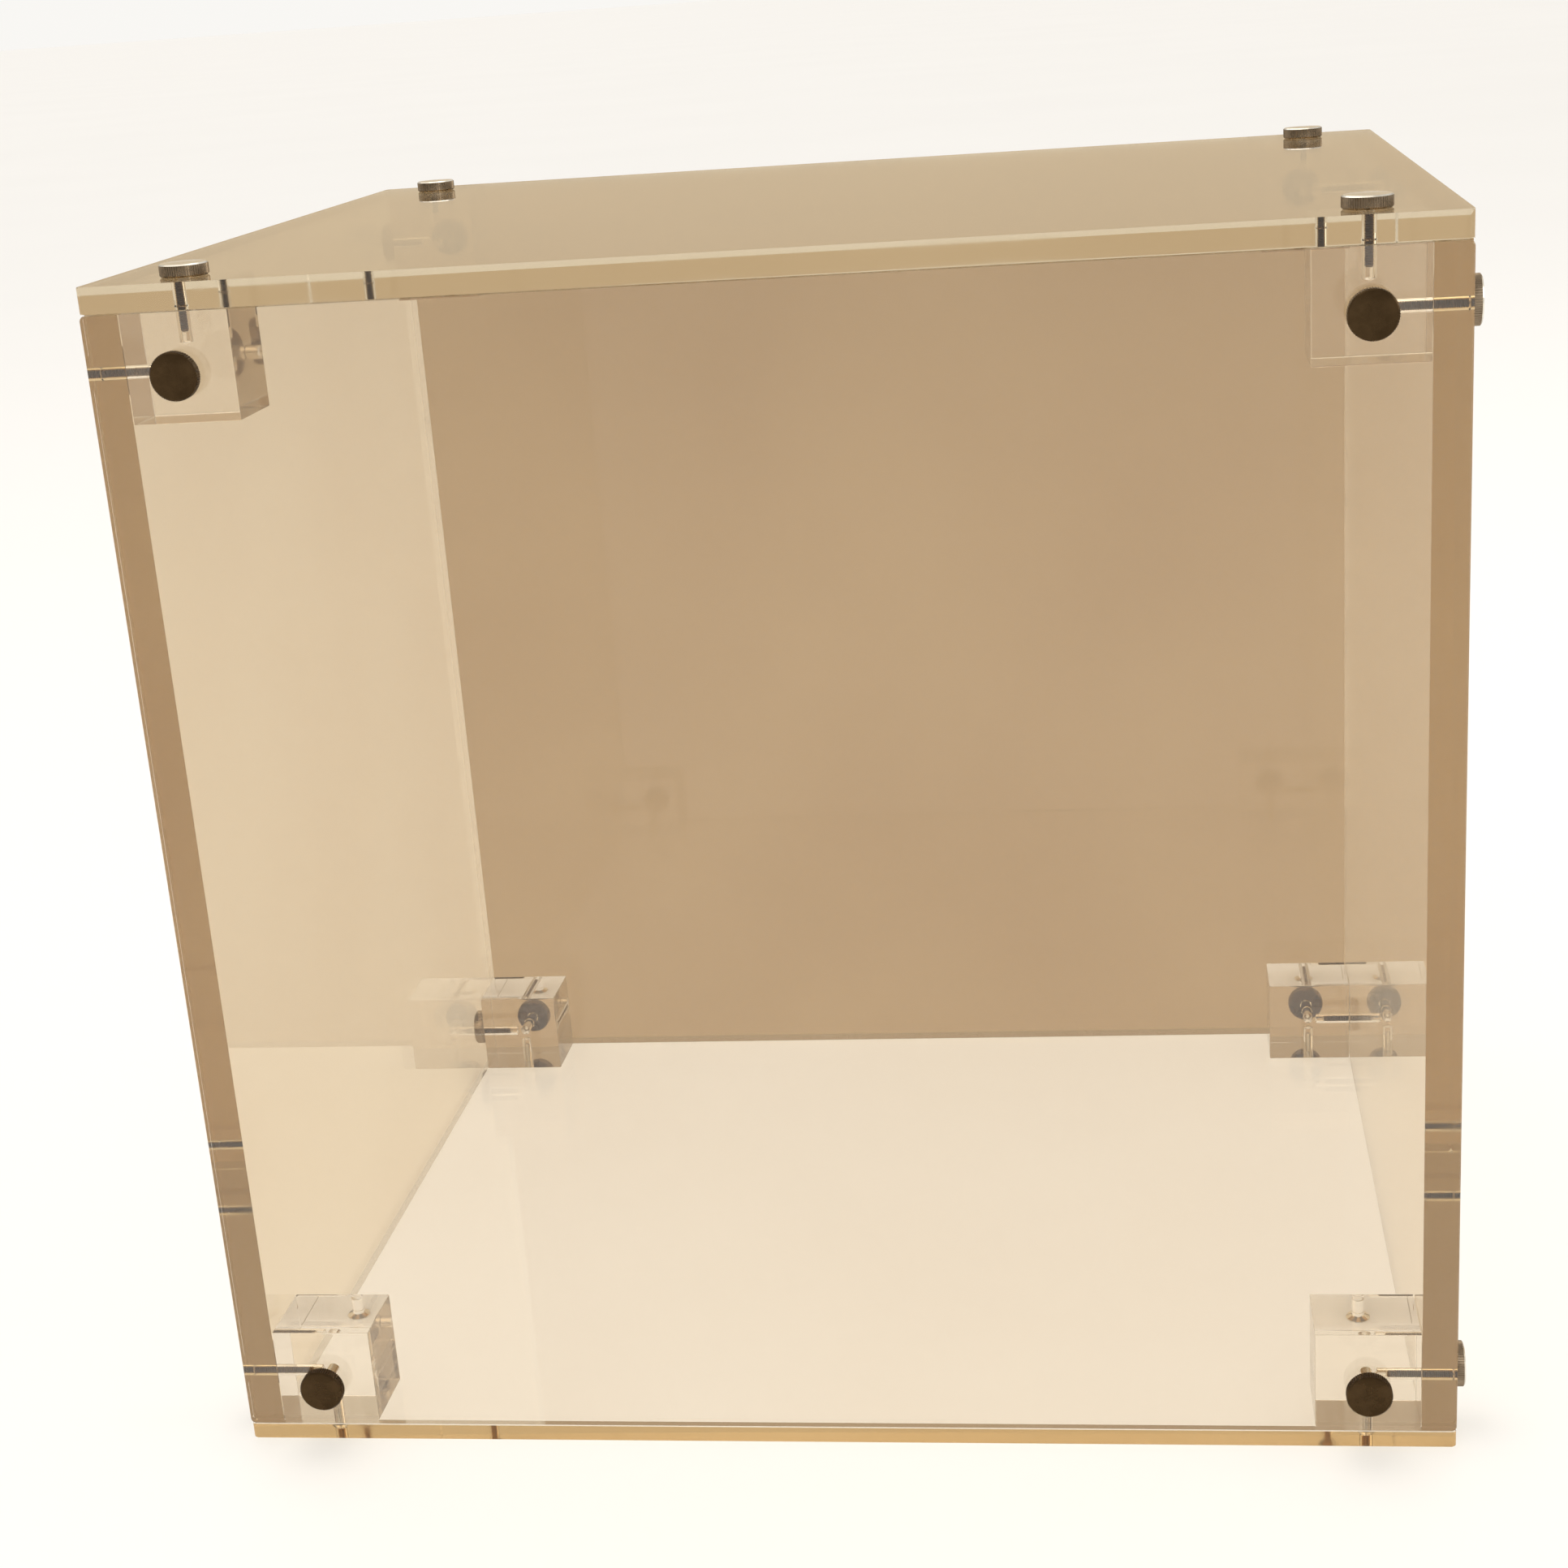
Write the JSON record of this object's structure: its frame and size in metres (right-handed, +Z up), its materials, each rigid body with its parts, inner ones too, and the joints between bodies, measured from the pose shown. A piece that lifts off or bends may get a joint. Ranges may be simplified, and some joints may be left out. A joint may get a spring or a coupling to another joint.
{
  "type": "gel electrophoresis tank",
  "caption": "Empty clear acrylic box tank, flat sheets held to clear corner blocks by knurled thumb screws, with a lift-off roof and a pull-off front panel.",
  "frame": {"origin": "middle of the underside of the base panel", "axes": "+X to the right across the width, -Y towards the removable front panel, +Z up"},
  "size_m": [0.3062, 0.256, 0.293],
  "materials": {
    "acrylic_sheet": "clear cast acrylic sheet, polished faces, slightly warm with age",
    "acrylic_block": "clear cast acrylic block, polished faces",
    "nickel_screw": "bright nickel plate, knurled rim",
    "dark_nickel_screw": "near-black nickel plate, knurled rim"
  },
  "bodies": {
    "tank_frame": {"back_panel": "acrylic_sheet", "left_wall": "acrylic_sheet", "right_wall": "acrylic_sheet", "base_panel": "acrylic_sheet", "base_screws": "nickel_screw", "block_front_left_top": "acrylic_block", "block_front_right_top": "acrylic_block", "block_back_left_top": "acrylic_block", "block_back_right_top": "acrylic_block", "block_front_left_bottom": "acrylic_block", "block_front_right_bottom": "acrylic_block", "block_back_left_bottom": "acrylic_block", "block_back_right_bottom": "acrylic_block"},
    "front_panel": {"front_panel": "acrylic_sheet"},
    "roof_panel": {"roof_panel": "acrylic_sheet"},
    "front_thumbscrew_left_top": {"front_thumbscrew_left_top": "dark_nickel_screw"},
    "front_thumbscrew_right_top": {"front_thumbscrew_right_top": "dark_nickel_screw"},
    "front_thumbscrew_left_bottom": {"front_thumbscrew_left_bottom": "dark_nickel_screw"},
    "front_thumbscrew_right_bottom": {"front_thumbscrew_right_bottom": "dark_nickel_screw"},
    "roof_thumbscrew_front_left": {"roof_thumbscrew_front_left": "nickel_screw"},
    "roof_thumbscrew_front_right": {"roof_thumbscrew_front_right": "nickel_screw"},
    "roof_thumbscrew_back_left": {"roof_thumbscrew_back_left": "nickel_screw"},
    "roof_thumbscrew_back_right": {"roof_thumbscrew_back_right": "nickel_screw"},
    "back_thumbscrew_left_top": {"back_thumbscrew_left_top": "nickel_screw"},
    "back_thumbscrew_right_top": {"back_thumbscrew_right_top": "nickel_screw"},
    "back_thumbscrew_left_bottom": {"back_thumbscrew_left_bottom": "nickel_screw"},
    "back_thumbscrew_right_bottom": {"back_thumbscrew_right_bottom": "nickel_screw"},
    "left_thumbscrew_front_top": {"left_thumbscrew_front_top": "nickel_screw"},
    "left_thumbscrew_back_top": {"left_thumbscrew_back_top": "nickel_screw"},
    "left_thumbscrew_front_bottom": {"left_thumbscrew_front_bottom": "nickel_screw"},
    "left_thumbscrew_back_bottom": {"left_thumbscrew_back_bottom": "nickel_screw"},
    "right_thumbscrew_front_top": {"right_thumbscrew_front_top": "nickel_screw"},
    "right_thumbscrew_back_top": {"right_thumbscrew_back_top": "nickel_screw"},
    "right_thumbscrew_front_bottom": {"right_thumbscrew_front_bottom": "nickel_screw"},
    "right_thumbscrew_back_bottom": {"right_thumbscrew_back_bottom": "nickel_screw"}
  },
  "joints": [
    {"name": "front_panel_pull", "type": "slide", "parent": "tank_frame", "child": "front_panel", "axis": [0, -1, 0], "range_m": [0, 0.06]},
    {"name": "roof_panel_lift", "type": "slide", "parent": "tank_frame", "child": "roof_panel", "axis": [0, 0, 1], "range_m": [0, 0.06]},
    {"name": "front_thumbscrew_left_top_turn", "type": "hinge", "parent": "front_panel", "child": "front_thumbscrew_left_top", "pos_m": [-0.1294, -0.125, 0.2699], "axis": [0, -1, 0], "continuous": true},
    {"name": "front_thumbscrew_right_top_turn", "type": "hinge", "parent": "front_panel", "child": "front_thumbscrew_right_top", "pos_m": [0.1294, -0.125, 0.2699], "axis": [0, -1, 0], "continuous": true},
    {"name": "front_thumbscrew_left_bottom_turn", "type": "hinge", "parent": "front_panel", "child": "front_thumbscrew_left_bottom", "pos_m": [-0.1294, -0.125, 0.0151], "axis": [0, -1, 0], "continuous": true},
    {"name": "front_thumbscrew_right_bottom_turn", "type": "hinge", "parent": "front_panel", "child": "front_thumbscrew_right_bottom", "pos_m": [0.1294, -0.125, 0.0151], "axis": [0, -1, 0], "continuous": true},
    {"name": "roof_thumbscrew_front_left_turn", "type": "hinge", "parent": "roof_panel", "child": "roof_thumbscrew_front_left", "pos_m": [-0.1294, -0.1119, 0.29], "axis": [0, 0, 1], "continuous": true},
    {"name": "roof_thumbscrew_front_right_turn", "type": "hinge", "parent": "roof_panel", "child": "roof_thumbscrew_front_right", "pos_m": [0.1294, -0.1119, 0.29], "axis": [0, 0, 1], "continuous": true},
    {"name": "roof_thumbscrew_back_left_turn", "type": "hinge", "parent": "roof_panel", "child": "roof_thumbscrew_back_left", "pos_m": [-0.1294, 0.1069, 0.29], "axis": [0, 0, 1], "continuous": true},
    {"name": "roof_thumbscrew_back_right_turn", "type": "hinge", "parent": "roof_panel", "child": "roof_thumbscrew_back_right", "pos_m": [0.1294, 0.1069, 0.29], "axis": [0, 0, 1], "continuous": true},
    {"name": "back_thumbscrew_left_top_turn", "type": "hinge", "parent": "tank_frame", "child": "back_thumbscrew_left_top", "pos_m": [-0.1294, 0.125, 0.2699], "axis": [0, 1, 0], "continuous": true},
    {"name": "back_thumbscrew_right_top_turn", "type": "hinge", "parent": "tank_frame", "child": "back_thumbscrew_right_top", "pos_m": [0.1294, 0.125, 0.2699], "axis": [0, 1, 0], "continuous": true},
    {"name": "back_thumbscrew_left_bottom_turn", "type": "hinge", "parent": "tank_frame", "child": "back_thumbscrew_left_bottom", "pos_m": [-0.1294, 0.125, 0.0151], "axis": [0, 1, 0], "continuous": true},
    {"name": "back_thumbscrew_right_bottom_turn", "type": "hinge", "parent": "tank_frame", "child": "back_thumbscrew_right_bottom", "pos_m": [0.1294, 0.125, 0.0151], "axis": [0, 1, 0], "continuous": true},
    {"name": "left_thumbscrew_front_top_turn", "type": "hinge", "parent": "tank_frame", "child": "left_thumbscrew_front_top", "pos_m": [-0.15, -0.1119, 0.2699], "axis": [-1, 0, 0], "continuous": true},
    {"name": "left_thumbscrew_back_top_turn", "type": "hinge", "parent": "tank_frame", "child": "left_thumbscrew_back_top", "pos_m": [-0.15, 0.1069, 0.2699], "axis": [-1, 0, 0], "continuous": true},
    {"name": "left_thumbscrew_front_bottom_turn", "type": "hinge", "parent": "tank_frame", "child": "left_thumbscrew_front_bottom", "pos_m": [-0.15, -0.1119, 0.0151], "axis": [-1, 0, 0], "continuous": true},
    {"name": "left_thumbscrew_back_bottom_turn", "type": "hinge", "parent": "tank_frame", "child": "left_thumbscrew_back_bottom", "pos_m": [-0.15, 0.1069, 0.0151], "axis": [-1, 0, 0], "continuous": true},
    {"name": "right_thumbscrew_front_top_turn", "type": "hinge", "parent": "tank_frame", "child": "right_thumbscrew_front_top", "pos_m": [0.15, -0.1119, 0.2699], "axis": [1, 0, 0], "continuous": true},
    {"name": "right_thumbscrew_back_top_turn", "type": "hinge", "parent": "tank_frame", "child": "right_thumbscrew_back_top", "pos_m": [0.15, 0.1069, 0.2699], "axis": [1, 0, 0], "continuous": true},
    {"name": "right_thumbscrew_front_bottom_turn", "type": "hinge", "parent": "tank_frame", "child": "right_thumbscrew_front_bottom", "pos_m": [0.15, -0.1119, 0.0151], "axis": [1, 0, 0], "continuous": true},
    {"name": "right_thumbscrew_back_bottom_turn", "type": "hinge", "parent": "tank_frame", "child": "right_thumbscrew_back_bottom", "pos_m": [0.15, 0.1069, 0.0151], "axis": [1, 0, 0], "continuous": true}
  ]
}
